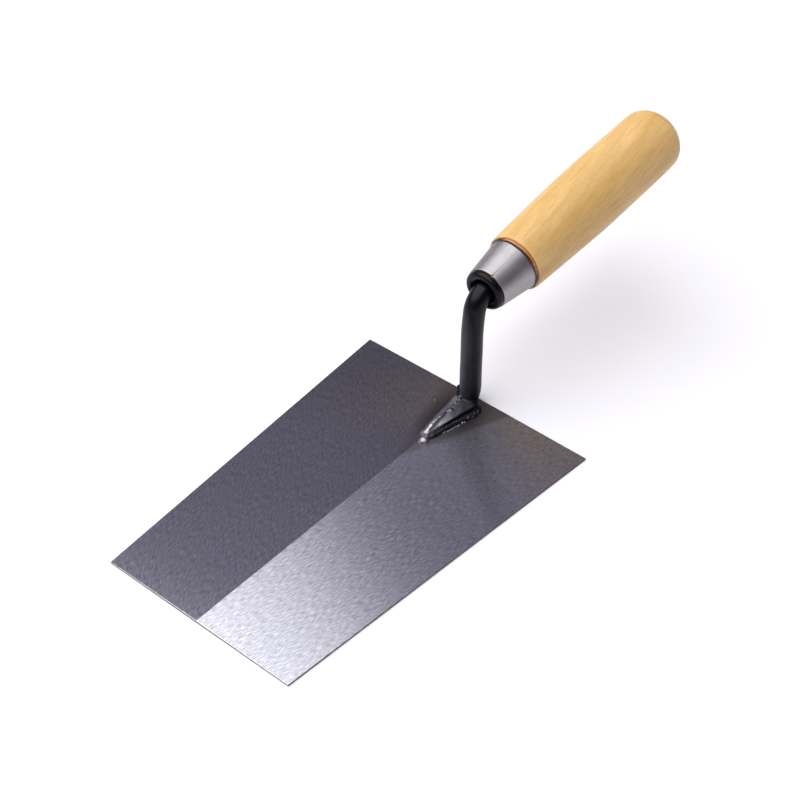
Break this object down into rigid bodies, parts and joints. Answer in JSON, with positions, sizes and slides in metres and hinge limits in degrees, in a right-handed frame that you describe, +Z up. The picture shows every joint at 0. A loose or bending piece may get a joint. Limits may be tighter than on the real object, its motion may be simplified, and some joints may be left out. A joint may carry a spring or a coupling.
{
  "type": "masonry trowel",
  "caption": "Bucket trowel: flat trapezoid steel blade ground to a low ridge, cranked black round-bar shank welded on by a forged foot, steel ferrule and turned wooden handle.",
  "frame": {"origin": "middle of the blade's flat underside, on its centre line", "axes": "+Y from the toe towards the handle, +Z up from the underside, +X across the blade"},
  "size_m": [0.1274, 0.3207, 0.0906],
  "materials": {
    "blade_steel": "taper ground, fine grinding lines, lightly oiled",
    "shank_black": "satin black lacquer",
    "weld_metal": "as welded, glossy beads",
    "ferrule_steel": "satin",
    "handle_wood": "clear varnish, satin",
    "glue": "set amber glue"
  },
  "bodies": {
    "root": {"blade": "blade_steel", "shank": "shank_black", "weld_left": "weld_metal", "weld_right": "weld_metal", "weld_nose": "weld_metal", "ferrule": "ferrule_steel", "handle": "handle_wood", "glue_ring": "glue"}
  },
  "joints": []
}
